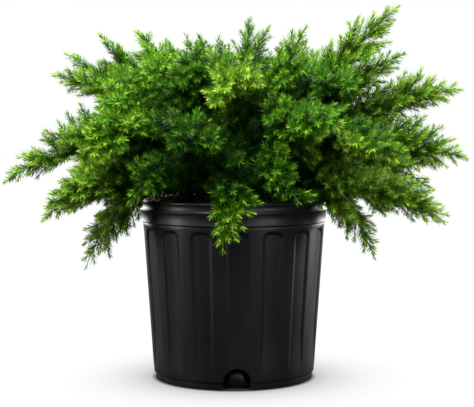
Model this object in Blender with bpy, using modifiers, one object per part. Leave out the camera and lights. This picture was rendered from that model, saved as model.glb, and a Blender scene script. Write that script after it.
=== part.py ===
"""A spreading conifer in a fluted nursery pot, as separate solids.

The solids are the pot, its soil, the trunk, the boughs and the foliage masses. Metres, +Z up. The origin is
the centre of the pot's flat underside. Azimuth 0 points along +X, 90 along +Y, and -90 to the front.
"""

import math
import random
from collections import namedtuple

import bmesh
import bpy
import numpy as np
from mathutils import Matrix, Vector

GAP = 0.0003  # between solids that touch on the real plant
PAST_FACE = 0.001  # how far a cutter runs past the face it opens

# The pot: a moulded shell with a stepped rim band, upright flutes and a foot ring.
POT_HEIGHT = 0.218
RIM_RADIUS = 0.114
LIP_RADIUS = 0.1115
LIP_INNER_RADIUS = 0.1075
BODY_TOP_RADIUS = 0.111
BODY_FOOT_RADIUS = 0.0985
FOOT_RADIUS = 0.0964
INNER_FOOT_RADIUS = 0.0935
FLOOR_THICKNESS = 0.004
LEDGE_Z = 0.206
BAND_FOOT_Z = 0.1915
FOOT_RING_Z = 0.0085
FOOT_STEP = 0.0006

# The flutes: shallow channels with round-cornered tops, as wide as their half angle each way.
FLUTE_COUNT = 16
FLUTE_TOP_Z = 0.1855
FLUTE_DEPTH = 0.0019
FLUTE_HALF_DEG = 6.2
FLUTE_WALL_DEG = 1.1
FLUTE_CORNER = 0.009
FLUTE_LEDGE = 0.0012
FLUTE_CORNER_ROWS = 2
COLUMNS_PER_FLUTE = 4
POT_TURN_DEG = 2.4 - 90.0  # one flute, with its drain, faces the front

# The drains: arched niches at the foot, each over a slot into the soil.
DRAIN_COUNT = 4
DRAIN_WIDTH = 0.032
DRAIN_HEIGHT = 0.0265
DRAIN_TOP_DEPTH = 0.014
DRAIN_FOOT_DEPTH = 0.008
DRAIN_WALL = 0.002
SHELL_ROOT = 0.0014  # how far the niches' walls run into the pot's wall
ARCH_STEPS = 6
SLOT_WIDTH = 0.020
SLOT_HEIGHT = 0.006
SLOT_DEPTH = 0.012

SOIL_TOP_Z = 0.194
INSIDE_SIDES = 32  # facets of the pot's inner wall and of the soil, which lie side by side

# The trunk: a short leaning stem with a root flare, wholly inside the crown.
TRUNK_HEIGHT = 0.095
TRUNK_LEAN = Vector((0.006, 0.003, 0.0))
TRUNK_RADII = (0.0135, 0.0100, 0.0088, 0.0082, 0.0076, 0.0068, 0.0052)
TRUNK_STATIONS = (0.0, 0.07, 0.2, 0.4, 0.6, 0.8, 1.0)

# Limbs and twigs.
BOUGH_BASE_RADIUS = 0.0031
BOUGH_TIP_RADIUS = 0.0019
STEM_BASE_RADIUS = 0.0017
STEM_TIP_RADIUS = 0.0007
BOUGH_POINTS = 4
STEM_POINTS = 6
START_LEVELS = 3
COLLAR = 0.004
COLLAR_GAP = GAP + 0.0002  # the trunk leans towards some collars
SWAY_DEG = 7  # how far a limb's shoulder may swing to either side of its tip
SWAY_SEED = 7

# Each foliage mass is a plume: one stem with sprays of needles set round it.
Tier = namedtuple("Tier", "start_low start_high lift inner shoulder bare sprays")
Plume = namedtuple("Plume", "tier azimuth reach height droop")
Mass = namedtuple("Mass", "name plume stem tip")
Spray = namedtuple("Spray", "mesh samples")

# start_low and start_high: where its limbs leave the trunk. lift: how steeply they rise from it.
# inner: the share of a limb that is bough. shoulder: how far out the limb turns.
# bare: the share of the plume's own stem with no sprays.
TIERS = {
    "low": Tier(0.203, 0.209, 0.040, 0.46, 0.70, 0.02, 5),
    "skirt": Tier(0.217, 0.231, 0.015, 0.36, 0.63, 0.02, 6),
    "side": Tier(0.239, 0.257, 0.020, 0.34, 0.60, 0.02, 6),
    "top": Tier(0.265, 0.283, 0.025, 0.0, 0.50, 0.20, 6),
}

# Azimuth in degrees, reach of the tip from the origin, its height, and how far the shoulder lies above it.
PLUMES = (
    Plume("low", 196, 0.190, 0.131, 0.140),
    Plume("low", -16, 0.182, 0.142, 0.135),
    Plume("low", -94, 0.170, 0.160, 0.125),
    Plume("low", 142, 0.190, 0.150, 0.125),
    Plume("low", 50, 0.195, 0.148, 0.125),
    Plume("skirt", 182, 0.283, 0.238, 0.084),
    Plume("skirt", 207, 0.250, 0.192, 0.072),
    Plume("skirt", -2, 0.290, 0.268, 0.042),
    Plume("skirt", -23, 0.275, 0.186, 0.062),
    Plume("skirt", -126, 0.195, 0.222, 0.060),
    Plume("skirt", -66, 0.178, 0.222, 0.060),
    Plume("skirt", 72, 0.270, 0.225, 0.065),
    Plume("skirt", 120, 0.262, 0.226, 0.064),
    Plume("skirt", 25, 0.272, 0.218, 0.068),
    Plume("side", 4, 0.284, 0.352, -0.005),
    Plume("side", 176, 0.225, 0.368, -0.015),
    Plume("side", -110, 0.215, 0.285, 0.030),
    Plume("side", -60, 0.225, 0.305, 0.025),
    Plume("side", -36, 0.240, 0.272, 0.035),
    Plume("side", -146, 0.235, 0.290, 0.035),
    Plume("side", 96, 0.245, 0.330, 0.010),
    Plume("side", 146, 0.250, 0.300, 0.025),
    Plume("side", 50, 0.250, 0.330, 0.005),
    Plume("top", 12, 0.206, 0.456, -0.085),
    Plume("top", 168, 0.210, 0.400, -0.040),
    Plume("top", 146, 0.160, 0.424, -0.060),
    Plume("top", 70, 0.060, 0.442, -0.090),
    Plume("top", -32, 0.100, 0.430, -0.080),
    Plume("top", -150, 0.078, 0.418, -0.080),
    Plume("top", -8, 0.212, 0.395, -0.045),
    Plume("top", 108, 0.150, 0.415, -0.070),
    Plume("top", 44, 0.160, 0.418, -0.070),
    Plume("top", -92, 0.125, 0.385, -0.060),
)

# A spray of needles: a slim three-sided core whose every side rises to a needle, in whorls of three.
SPRAY_CORE_RADIUS = 0.0018
SPRAY_ROOT_RADIUS = 0.0010
SPRAY_END_RADIUS = 0.0009
SPRAY_BAND = 0.0145
SPRAY_TIP = 0.012
NEEDLE_OUT = 0.0125
NEEDLE_FORWARD = 0.0130
YOUNG_NEEDLE = 0.65  # the length of the needles next to the tip, as a share of the others
SPRAY_BANDS = (3, 2)
TIP_SUNK = 0.004  # how far the last spray's root lies inside the stem's end
LONG_SPRAYS = 0.6  # the share of a plume's stem that carries the longest sprays
FIRST_SPRAY = 0.4  # of the distance between two sprays
LAST_SPRAY = 0.97  # the share of the stem at which its sprays end
SPRAY_ANGLE_DEG = 46
SPRAY_JITTER_DEG = 6
GOLDEN_DEG = 137.5
FLATTENED = 0.75  # the plume is this much thinner from top to bottom than from side to side
SPACE_MARGIN = 0.0015  # how far each mass keeps from the next one's space, and from the limbs
SPRAY_APART = 0.0035  # how far a mass's own sprays keep apart beyond their roots
SPRAY_FREE = 3  # samples of a spray's core that lie next to the stem
TRIES = 7  # turns round the stem that a spray may try before it is skipped


def clear_scene():
    for obj in list(bpy.data.objects):
        bpy.data.objects.remove(obj, do_unlink=True)


def collection(name):
    made = bpy.data.collections.new(name)
    bpy.context.scene.collection.children.link(made)
    return made


def material(name, colour, roughness):
    made = bpy.data.materials.new(name)
    made.use_nodes = True
    surface = made.node_tree.nodes["Principled BSDF"]
    surface.inputs["Base Color"].default_value = (*colour, 1.0)
    surface.inputs["Roughness"].default_value = roughness
    surface.inputs["Metallic"].default_value = 0.0
    return made


def object_of(name, data, home, finish=None):
    made = bpy.data.objects.new(name, data)
    home.objects.link(made)
    if finish is not None:
        data.materials.append(finish)
    return made


def mesh_of(bm, name):
    bmesh.ops.recalc_face_normals(bm, faces=bm.faces)
    data = bpy.data.meshes.new(name)
    bm.to_mesh(data)
    bm.free()
    return data


def settle(obj):
    """Replaces a mesh or curve object's data by its evaluated mesh, with its modifiers and place applied."""
    bpy.context.view_layer.update()
    graph = bpy.context.evaluated_depsgraph_get()
    data = bpy.data.meshes.new_from_object(obj.evaluated_get(graph))
    data.transform(obj.matrix_world)
    bm = bmesh.new()
    bm.from_mesh(data)
    bmesh.ops.remove_doubles(bm, verts=bm.verts, dist=1e-7)
    bm.to_mesh(data)
    bm.free()
    name, homes = obj.name, list(obj.users_collection)
    bpy.data.objects.remove(obj, do_unlink=True)
    made = bpy.data.objects.new(name, data)
    homes[0].objects.link(made)
    return made


def boolean(obj, operation, group, solver="EXACT"):
    """Joins to obj, or cuts from it, every object of the group, and removes them."""
    modifier = obj.modifiers.new(operation.title(), "BOOLEAN")
    modifier.operation = operation
    modifier.solver = solver
    modifier.operand_type = "COLLECTION"
    modifier.collection = group
    made = settle(obj)
    for used in list(group.objects):
        bpy.data.objects.remove(used, do_unlink=True)
    bpy.data.collections.remove(group)
    return made


def turned(name, profile, steps, home):
    """A closed solid turned about Z from (radius, height) pairs that end on the axis."""
    data = bpy.data.meshes.new(name)
    points = [(radius, 0.0, z) for radius, z in profile]
    edges = [(i, i + 1) for i in range(len(points) - 1)]
    data.from_pydata(points, edges, [])
    made = object_of(name, data, home)
    screw = made.modifiers.new("Screw", "SCREW")
    screw.axis = "Z"
    screw.steps = screw.render_steps = steps
    screw.use_merge_vertices = True
    screw.merge_threshold = 0.00001
    screw.use_smooth_shade = False
    return settle(made)


def tube(name, points, radii, resolution, home, finish=None):
    """A tapering limb: a polyline curve with a round bevel and filled caps."""
    data = bpy.data.curves.new(name, "CURVE")
    data.dimensions = "3D"
    data.bevel_depth = 1.0
    data.bevel_resolution = resolution
    data.use_fill_caps = True
    spline = data.splines.new("POLY")
    spline.points.add(len(points) - 1)
    for spot, point, radius in zip(spline.points, points, radii):
        spot.co = (*point, 1.0)
        spot.radius = radius
    return object_of(name, data, home, finish)


# ---- The pot ---------------------------------------------------------------------------------------------


def body_radius(z):
    """The ridges' outer radius between the foot ring and the rim band."""
    share = (z - FOOT_RING_Z) / (BAND_FOOT_Z - FOOT_RING_Z)
    return BODY_FOOT_RADIUS + share * (BODY_TOP_RADIUS - BODY_FOOT_RADIUS)


def corner_rows():
    """Heights and angles of the flute's round top corners, from its top edge down to its full width."""
    rows = []
    for step in range(1, FLUTE_CORNER_ROWS + 1):
        angle = math.radians(90 * step / FLUTE_CORNER_ROWS)
        drop = FLUTE_CORNER * (1 - math.cos(angle))
        inset = FLUTE_CORNER * (1 - math.sin(angle))
        rows.append((FLUTE_TOP_Z - FLUTE_LEDGE - drop, inset))
    return rows


def pot_profile():
    """(radius, height) of the outside, from the middle of the rim's plane down to the underside's middle."""
    rim = [
        (0.0, POT_HEIGHT),
        (LIP_RADIUS - 0.001, POT_HEIGHT),
        (LIP_RADIUS, POT_HEIGHT - 0.0012),
        (LIP_RADIUS + 0.0003, LEDGE_Z),
        (RIM_RADIUS, LEDGE_Z - 0.0012),
        (RIM_RADIUS - 0.0004, BAND_FOOT_Z + 0.0012),
        (BODY_TOP_RADIUS, BAND_FOOT_Z),
    ]
    flute = [(body_radius(z), z) for z in [FLUTE_TOP_Z, *(row[0] for row in corner_rows())]]
    foot = [
        (BODY_FOOT_RADIUS, FOOT_RING_Z + FOOT_STEP),
        (FOOT_RADIUS, FOOT_RING_Z),
        (FOOT_RADIUS - 0.0003, 0.0012),
        (FOOT_RADIUS - 0.0014, 0.0),
        (0.0, 0.0),
    ]
    return rim + flute + foot


def inner_radius(z):
    """The pot's inner wall."""
    share = (z - FLOOR_THICKNESS) / (POT_HEIGHT - FLOOR_THICKNESS)
    return INNER_FOOT_RADIUS + share * (LIP_INNER_RADIUS - INNER_FOOT_RADIUS)


def inside_of_pot(top, clearance, name, home):
    """A closed plug that fills the pot from its floor up to top, short of its walls by clearance."""
    foot = FLOOR_THICKNESS + clearance
    wall = [(inner_radius(z) - clearance, z) for z in (top, foot)]
    return turned(name, [(0.0, top), *wall, (0.0, foot)], INSIDE_SIDES, home)


def flute_pot(obj):
    """Moves the turned pot's columns so that the outer wall has flutes."""
    pitch = 360 / FLUTE_COUNT
    column_deg = pitch / COLUMNS_PER_FLUTE
    insets = {round(z, 5): inset for z, inset in corner_rows()}
    for vertex in obj.data.vertices:
        x, y, z = vertex.co
        radius = math.hypot(x, y)
        if radius < FLUTE_DEPTH:
            continue
        column = round(math.degrees(math.atan2(y, x)) / column_deg) % (FLUTE_COUNT * COLUMNS_PER_FLUTE)
        flute, place = divmod(column, COLUMNS_PER_FLUTE)
        inset_deg = math.degrees(insets.get(round(z, 5), 0.0) / BODY_TOP_RADIUS)
        if z > FLUTE_TOP_Z - 1e-5:
            inset_deg = math.degrees(FLUTE_CORNER / BODY_TOP_RADIUS) - FLUTE_WALL_DEG / 2
        half = FLUTE_HALF_DEG - inset_deg
        offset = (-half - FLUTE_WALL_DEG, -half, half, half + FLUTE_WALL_DEG)[place]
        if FOOT_RING_Z + FOOT_STEP - 1e-5 < z < FLUTE_TOP_Z - FLUTE_LEDGE / 2 and place in (1, 2):
            radius -= FLUTE_DEPTH
        angle = math.radians(flute * pitch + offset + POT_TURN_DEG)
        vertex.co = (radius * math.cos(angle), radius * math.sin(angle), z)


def arch(name, width, height, foot, depths, outer, azimuth, home):
    """A block with an arched top that runs inwards from the radius outer, and less deep at its foot."""
    bm = bmesh.new()
    half = width / 2
    spring = height - half
    outline = [(-half, foot), (half, foot)]
    for step in range(ARCH_STEPS + 1):
        angle = math.pi * step / ARCH_STEPS
        outline.append((half * math.cos(angle), spring + half * math.sin(angle)))
    face = bm.faces.new([bm.verts.new((outer, y, z)) for y, z in outline])
    inner = bmesh.ops.extrude_face_region(bm, geom=[face])["geom"]
    foot_depth, top_depth = depths
    for vertex in (item for item in inner if isinstance(item, bmesh.types.BMVert)):
        share = max(0.0, vertex.co.z) / height
        vertex.co.x = FOOT_RADIUS - foot_depth - share * (top_depth - foot_depth)
    made = object_of(name, mesh_of(bm, name), home)
    made.data.transform(Matrix.Rotation(math.radians(azimuth), 4, "Z"))
    return made


def drain_azimuths():
    return [POT_TURN_DEG + 360 * i / DRAIN_COUNT for i in range(DRAIN_COUNT)]


def drain_shells(grown):
    """The walls of the drain niches where they stand into the pot, each side larger by grown."""
    shells = collection("drain_shells")
    more = DRAIN_WALL + grown
    for number, azimuth in enumerate(drain_azimuths()):
        depths = (DRAIN_FOOT_DEPTH + more, DRAIN_TOP_DEPTH + more)
        arch(
            f"drain_shell_{number}", DRAIN_WIDTH + 2 * more, DRAIN_HEIGHT + more, FLOOR_THICKNESS / 4,
            depths, INNER_FOOT_RADIUS + SHELL_ROOT, azimuth, shells,
        )
    return shells


def drain_cutters():
    """The niches' open space, and the slot at the foot of each."""
    cutters = collection("drain_cutters")
    for number, azimuth in enumerate(drain_azimuths()):
        depths = (DRAIN_FOOT_DEPTH, DRAIN_TOP_DEPTH)
        arch(f"drain_{number}", DRAIN_WIDTH, DRAIN_HEIGHT, -PAST_FACE, depths, RIM_RADIUS, azimuth, cutters)
        bm = bmesh.new()
        bmesh.ops.create_cube(bm, size=1.0)
        bmesh.ops.scale(bm, verts=bm.verts, vec=(SLOT_DEPTH, SLOT_WIDTH, SLOT_HEIGHT))
        centre = (FOOT_RADIUS - DRAIN_FOOT_DEPTH, 0.0, SLOT_HEIGHT / 2 - PAST_FACE)
        bmesh.ops.translate(bm, verts=bm.verts, vec=centre)
        slot = object_of(f"slot_{number}", mesh_of(bm, f"slot_{number}"), cutters)
        slot.data.transform(Matrix.Rotation(math.radians(azimuth), 4, "Z"))
    return cutters


def make_pot(home, finish):
    pot = turned("pot", pot_profile(), FLUTE_COUNT * COLUMNS_PER_FLUTE, home)
    flute_pot(pot)
    inside = collection("pot_inside")
    inside_of_pot(POT_HEIGHT + PAST_FACE, 0.0, "inside", inside)
    pot = boolean(pot, "DIFFERENCE", inside)
    pot = boolean(pot, "UNION", drain_shells(0.0))
    pot = boolean(pot, "DIFFERENCE", drain_cutters())
    pot.data.materials.clear()
    pot.data.materials.append(finish)
    return pot


def make_soil(home, finish):
    soil = inside_of_pot(SOIL_TOP_Z, GAP, "soil", home)
    soil = boolean(soil, "DIFFERENCE", drain_shells(GAP))
    soil.data.materials.clear()
    soil.data.materials.append(finish)
    return soil


# ---- Trunk and limbs -------------------------------------------------------------------------------------


def trunk_axis(z):
    """The trunk's centre at a height: it rises upright from the soil and then leans."""
    share = (z - SOIL_TOP_Z) / TRUNK_HEIGHT
    return Vector((0.0, 0.0, z)) + TRUNK_LEAN * max(0.0, share - TRUNK_STATIONS[1])


def trunk_radius(z):
    share = (z - SOIL_TOP_Z) / TRUNK_HEIGHT
    for low, high, near, far in zip(TRUNK_STATIONS, TRUNK_STATIONS[1:], TRUNK_RADII, TRUNK_RADII[1:]):
        if share <= high:
            return near + (share - low) / (high - low) * (far - near)
    return TRUNK_RADII[-1]


def make_trunk(home, finish):
    foot = SOIL_TOP_Z + GAP
    points = [trunk_axis(foot + share * (TRUNK_HEIGHT - GAP)) for share in TRUNK_STATIONS]
    return tube("trunk", points, TRUNK_RADII, 3, home, finish)


def outward(azimuth):
    angle = math.radians(azimuth)
    return Vector((math.cos(angle), math.sin(angle), 0.0))


def limb_path(plume, start_z, sway):
    """The four control points of the curve that a limb follows from its collar on the trunk to its tip."""
    tier = TIERS[plume.tier]
    away = outward(plume.azimuth)
    collar_radius = BOUGH_BASE_RADIUS if tier.inner else STEM_BASE_RADIUS
    start = trunk_axis(start_z) + away * (trunk_radius(start_z - collar_radius) + COLLAR_GAP + COLLAR)
    tip = away * plume.reach + Vector((0.0, 0.0, plume.height))
    shoulder = outward(plume.azimuth + sway) * plume.reach * tier.shoulder
    shoulder.z = plume.height + plume.droop
    first = start + away * (0.016 + 0.16 * plume.reach) + Vector((0.0, 0.0, tier.lift))
    return start, first, shoulder, tip


def on_path(path, t):
    a, b, c, d = path
    u = 1 - t
    return a * u**3 + b * 3 * u * u * t + c * 3 * u * t * t + d * t**3


def along(path, low, high, count):
    return [on_path(path, low + (high - low) * i / (count - 1)) for i in range(count)]


def share_before_tip(path, distance):
    """How far along its path a limb is when its tip is still the distance ahead."""
    share = 1.0
    while (on_path(path, share) - path[-1]).length < distance:
        share -= 0.002
    return share


def with_collar(points, azimuth):
    """A limb's points from the bark on: it leaves the trunk level, for the length of its collar."""
    return [points[0] - outward(azimuth) * COLLAR, *points]


def clear_of(end, points, radius):
    """Points that start far enough past the end of another limb that the two cut faces don't touch."""
    bend = (end[-1] - end[-2]).angle(points[1] - points[0])
    forward = (points[1] - points[0]).normalized()
    return [points[0] + forward * (GAP + radius * math.sin(bend)), *points[1:]]


def on_line(line, share):
    """A point on a polyline and its direction there, by the share of its pieces passed."""
    place = share * (len(line) - 1)
    index = min(int(place), len(line) - 2)
    a, b = line[index], line[index + 1]
    return a.lerp(b, place - index), (b - a).normalized()


def starts_on_trunk():
    """Where on the trunk each plume's limb leaves, staggered so that neighbours don't touch."""
    heights = {}
    for name, tier in TIERS.items():
        members = [i for i, plume in enumerate(PLUMES) if plume.tier == name]
        members.sort(key=lambda i: PLUMES[i].azimuth % 360)
        levels = START_LEVELS + (len(members) % START_LEVELS == 1)  # so that the last clears the first
        rise = (tier.start_high - tier.start_low) / (levels - 1)
        for order, index in enumerate(members):
            heights[index] = tier.start_low + rise * (order % levels)
    return heights


# ---- Foliage masses --------------------------------------------------------------------------------------


def spray_mesh(bands):
    """One spray at the origin along +Z: a slim core built up band by band, its sides poked out to needles."""
    bm = bmesh.new()
    bmesh.ops.create_circle(bm, cap_ends=True, segments=3, radius=SPRAY_ROOT_RADIUS)
    top = bm.faces[:][0]
    sides = []
    for band in range(1, bands + 1):
        grown = bmesh.ops.extrude_face_region(bm, geom=[top], use_keep_orig=True)["geom"]
        ring = [item for item in grown if isinstance(item, bmesh.types.BMVert)]
        if band > 1:
            bmesh.ops.delete(bm, geom=[top], context="FACES_ONLY")
        top = next(item for item in grown if isinstance(item, bmesh.types.BMFace))
        radius = SPRAY_CORE_RADIUS + (SPRAY_END_RADIUS - SPRAY_CORE_RADIUS) * (band - 1) / bands
        turn = Matrix.Rotation(math.radians(60), 3, "Z")
        for vertex in ring:
            flat = turn @ Vector((vertex.co.x, vertex.co.y, 0.0)).normalized() * radius
            vertex.co = (flat.x, flat.y, SPRAY_BAND * band)
        sides += [face for edge in top.edges for face in edge.link_faces if face is not top]
    tip = bmesh.ops.poke(bm, faces=[top])["verts"][0]
    tip.co.z += SPRAY_TIP
    for number, needle in enumerate(bmesh.ops.poke(bm, faces=sides)["verts"]):
        length = YOUNG_NEEDLE if number >= 3 * (bands - 1) else 1.0
        away = Vector((needle.co.x, needle.co.y, 0.0)).normalized()
        needle.co += (away * NEEDLE_OUT + Vector((0.0, 0.0, NEEDLE_FORWARD))) * length
    bmesh.ops.triangulate(bm, faces=bm.faces)
    return mesh_of(bm, f"spray_{bands}")


def spray_length(bands):
    return SPRAY_BAND * bands + SPRAY_TIP


def spray_samples(data, bands):
    """Points along a spray's core and its needles, for the test of the space that it would take."""
    steps = 4 * bands
    points = [(0.0, 0.0, spray_length(bands) * step / steps) for step in range(2, steps + 1)]
    for vertex in data.vertices:
        x, y, z = vertex.co
        if math.hypot(x, y) > 2 * SPRAY_CORE_RADIUS:
            points += [(x * part, y * part, z - NEEDLE_FORWARD * (1 - part)) for part in (0.4, 0.7, 1.0)]
    return np.array(points)


def distances(points, line):
    """The distance of each point from a polyline."""
    nearest = np.full(len(points), np.inf)
    for a, b in zip(np.array(line), np.array(line)[1:]):
        along_line = np.clip((points - a) @ (b - a) / ((b - a) @ (b - a)), 0.0, 1.0)
        feet = a + along_line[:, None] * (b - a)
        nearest = np.minimum(nearest, np.linalg.norm(points - feet, axis=1))
    return nearest


def fits(points, own, others, limbs, earlier):
    """Whether a spray keeps to its own mass's space, and clear of the limbs, the pot and earlier sprays."""
    radii = np.hypot(points[:, 0], points[:, 1])
    if np.any((points[:, 2] < POT_HEIGHT + 2 * SPACE_MARGIN) & (radii < RIM_RADIUS + 2 * SPACE_MARGIN)):
        return False
    if any(np.any(distances(points, line) < radius + SPACE_MARGIN) for line, radius in limbs):
        return False
    for spray in earlier:
        apart = np.linalg.norm(points[SPRAY_FREE:, None] - spray[None, SPRAY_FREE:], axis=2)
        if np.any(apart < SPRAY_APART):
            return False
    mine = distances(points, own) + SPACE_MARGIN
    return not any(np.any(distances(points, line) < mine) for line in others)


def spray_place(root, direction, spin):
    turn = direction.to_track_quat("Z", "Y").to_matrix().to_4x4()
    return Matrix.Translation(root) @ turn @ Matrix.Rotation(spin, 4, "Z")


def place_sprays(mass, others, limbs, kit):
    """(bands, place) of each spray of a plume: one at its tip and the rest set spirally round its stem."""
    tier = TIERS[mass.plume.tier]
    dice = random.Random(mass.name)
    last = (mass.tip - mass.stem[-1]).normalized()
    placed = [(SPRAY_BANDS[-1], spray_place(mass.stem[-1] - last * TIP_SUNK, last, 0.0))]
    roll = 0.0
    earlier = []
    for number in range(tier.sprays):
        share = tier.bare + (LAST_SPRAY - tier.bare) * (number + FIRST_SPRAY) / tier.sprays
        root, forward = on_line(mass.stem, share)
        side = forward.cross(Vector((0.0, 0.0, 1.0))).normalized()
        up = side.cross(forward)
        longest = 0 if share < LONG_SPRAYS else 1
        for bands, attempt in [(bands, turn) for bands in SPRAY_BANDS[longest:] for turn in range(TRIES)]:
            angle = roll + math.radians(GOLDEN_DEG + 360 / TRIES * attempt)
            lateral = (side * math.cos(angle) + up * math.sin(angle) * FLATTENED).normalized()
            lean = math.radians(SPRAY_ANGLE_DEG + dice.uniform(-SPRAY_JITTER_DEG, SPRAY_JITTER_DEG))
            direction = forward * math.cos(lean) + lateral * math.sin(lean)
            place = spray_place(root, direction, dice.uniform(0, math.tau))
            matrix = np.array(place)
            points = kit[bands].samples @ matrix[:3, :3].T + matrix[:3, 3]
            if fits(points, mass.stem, others, limbs, earlier):
                placed.append((bands, place))
                earlier.append(points)
                roll = angle
                break
    return placed


def make_mass(mass, others, limbs, kit, home, finish):
    """A foliage mass: the stem and its sprays, joined into one solid."""
    count = len(mass.stem)
    taper = (STEM_TIP_RADIUS - STEM_BASE_RADIUS) / (count - 1)
    radii = [STEM_BASE_RADIUS + taper * i for i in range(count)]
    body = settle(tube(mass.name, mass.stem, radii, 0, home))
    group = collection(f"{mass.name}_sprays")
    for number, (bands, place) in enumerate(place_sprays(mass, others, limbs, kit)):
        object_of(f"{mass.name}_spray_{number}", kit[bands].mesh, group).matrix_world = place
    fused = boolean(body, "UNION", group, "MANIFOLD")
    fused.data.materials.clear()
    fused.data.materials.append(finish)


def make_bough(name, points, home, finish):
    taper = (BOUGH_TIP_RADIUS - BOUGH_BASE_RADIUS) / (len(points) - 1)
    radii = [BOUGH_BASE_RADIUS + taper * i for i in range(len(points))]
    tube(name, points, radii, 1, home, finish)


def make_crown(home, bark, greens):
    """The boughs, and the foliage mass that grows on from each bough's tip or straight from the trunk."""
    starts = starts_on_trunk()
    dice = random.Random(SWAY_SEED)
    trunk_line = [trunk_axis(SOIL_TOP_Z + TRUNK_HEIGHT * share) for share in TRUNK_STATIONS]
    limbs = [(trunk_line, TRUNK_RADII[1])]
    masses = []
    tip_reach = spray_length(SPRAY_BANDS[-1]) - TIP_SUNK
    for index, plume in enumerate(PLUMES):
        label = f"{plume.tier}_{index + 1:02d}"
        path = limb_path(plume, starts[index], dice.uniform(-SWAY_DEG, SWAY_DEG))
        inner = TIERS[plume.tier].inner
        stem = along(path, inner, share_before_tip(path, tip_reach), STEM_POINTS)
        if inner:
            points = with_collar(along(path, 0.0, inner, BOUGH_POINTS), plume.azimuth)
            make_bough(f"bough_{label}", points, home, bark)
            limbs.append((points, BOUGH_BASE_RADIUS))
            stem = clear_of(points, stem, STEM_BASE_RADIUS)
        else:
            stem = with_collar(stem, plume.azimuth)
        masses.append(Mass(f"foliage_{label}", plume, stem, path[-1]))

    kit = {}
    for bands in SPRAY_BANDS:
        mesh = spray_mesh(bands)
        kit[bands] = Spray(mesh, spray_samples(mesh, bands))
    for mass in masses:
        others = [other.stem for other in masses if other is not mass]
        make_mass(mass, others, limbs, kit, home, greens[mass.plume.tier])
    for spray in kit.values():
        bpy.data.meshes.remove(spray.mesh)


def main():
    clear_scene()
    home = collection("potted_conifer")
    black_plastic = material("black_plastic", (0.022, 0.022, 0.023), 0.42)
    potting_mix = material("potting_mix", (0.055, 0.035, 0.022), 0.95)
    bark = material("bark", (0.16, 0.085, 0.045), 0.85)
    greens = {
        "low": material("needles_deep", (0.060, 0.180, 0.020), 0.6),
        "skirt": material("needles_mid", (0.090, 0.240, 0.025), 0.6),
        "side": material("needles_green", (0.110, 0.280, 0.030), 0.6),
        "top": material("needles_bright", (0.160, 0.360, 0.035), 0.6),
    }
    make_pot(home, black_plastic)
    make_soil(home, potting_mix)
    make_trunk(home, bark)
    make_crown(home, bark, greens)


main()
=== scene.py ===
import math
import random
from collections import namedtuple

import bpy
import numpy as np
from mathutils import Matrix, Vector


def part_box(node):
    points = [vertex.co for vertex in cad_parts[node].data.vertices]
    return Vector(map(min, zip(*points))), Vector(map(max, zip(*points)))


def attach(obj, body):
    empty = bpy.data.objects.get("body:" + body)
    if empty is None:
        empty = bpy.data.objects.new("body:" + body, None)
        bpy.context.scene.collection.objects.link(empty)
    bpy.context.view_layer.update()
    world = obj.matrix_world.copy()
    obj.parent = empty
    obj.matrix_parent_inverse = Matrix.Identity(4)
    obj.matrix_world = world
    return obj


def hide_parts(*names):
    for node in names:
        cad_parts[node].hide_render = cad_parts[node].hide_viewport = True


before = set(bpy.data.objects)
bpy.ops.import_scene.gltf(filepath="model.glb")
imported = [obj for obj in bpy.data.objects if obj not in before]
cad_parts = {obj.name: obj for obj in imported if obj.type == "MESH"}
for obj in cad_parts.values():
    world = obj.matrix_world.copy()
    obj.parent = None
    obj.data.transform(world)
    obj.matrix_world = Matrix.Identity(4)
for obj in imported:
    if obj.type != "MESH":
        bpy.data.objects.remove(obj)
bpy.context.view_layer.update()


# ==== Nursery pot ====
# A thin pot blow-moulded in black polyethylene: a stepped rim band for gripping, sixteen upright flutes that
# stiffen its wall, a foot ring, and four arched drain niches with a slot each. It carries the soil and plant.

pot_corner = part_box("pot")[1]
POT_HEIGHT = pot_corner.z
RIM_RADIUS = pot_corner.x
LIP_RADIUS = RIM_RADIUS - 0.0025
LIP_INNER_RADIUS = RIM_RADIUS - 0.0065
BODY_TOP_RADIUS = RIM_RADIUS - 0.003
BODY_FOOT_RADIUS = 0.0985
FOOT_RADIUS = 0.0964
INNER_FOOT_RADIUS = 0.0935
FLOOR_THICKNESS = 0.004
LEDGE_Z = POT_HEIGHT - 0.0100
BAND_FOOT_Z = POT_HEIGHT - 0.0265
FOOT_RING_Z = 0.0085
POT_COLUMNS = 640
FLUTES = 16
FLUTE_TOP_Z = POT_HEIGHT - 0.0325
FLUTE_FOOT_Z = FOOT_RING_Z + 0.0014
FLUTE_RUNOUT = 0.050  # a flute fades out over this height above its foot
FLUTE_DEPTH = 0.0019
FLUTE_HALF_DEG = 7.0
FLUTE_CORNER = 0.009
FLUTE_ARCH = 0.013  # over this height under the flutes' tops the wall has rings FLUTE_ARCH_STEP apart
FLUTE_ARCH_STEP = 0.00095
FLUTE_EDGE = 0.0034  # how wide a flute's wall is, from the ridge down to the flute's bed
POT_TURN_DEG = 2.4 - 90.0  # a flute with its drain faces the front
DRAINS = 4
DRAIN_WIDTH = 0.032
DRAIN_HEIGHT = 0.0265
DRAIN_DEPTH = 0.014
DRAIN_WALL = 0.002
NICHE_ARCH_POINTS = 32
NICHE_BULGE = 0.0065
SLOT_WIDTH = 0.020
SLOT_HEIGHT = 0.0045
SLOT_DEPTH = 0.012
PAST_FACE = 0.001  # how far a cutter runs past the face that it opens
SHELL_ROOT = 0.0014  # how far the niches' walls run into the pot's wall
SAME_POINT = 1e-5


def drop_selection():
    bpy.ops.object.select_all(action="DESELECT")


def pick(*pieces):
    """Selects these pieces and nothing else, the first one active."""
    drop_selection()
    for piece in pieces:
        piece.select_set(True)
    bpy.context.view_layer.objects.active = pieces[0]


def select_in_mesh(action):
    bpy.ops.mesh.select_all(action=action)


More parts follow.
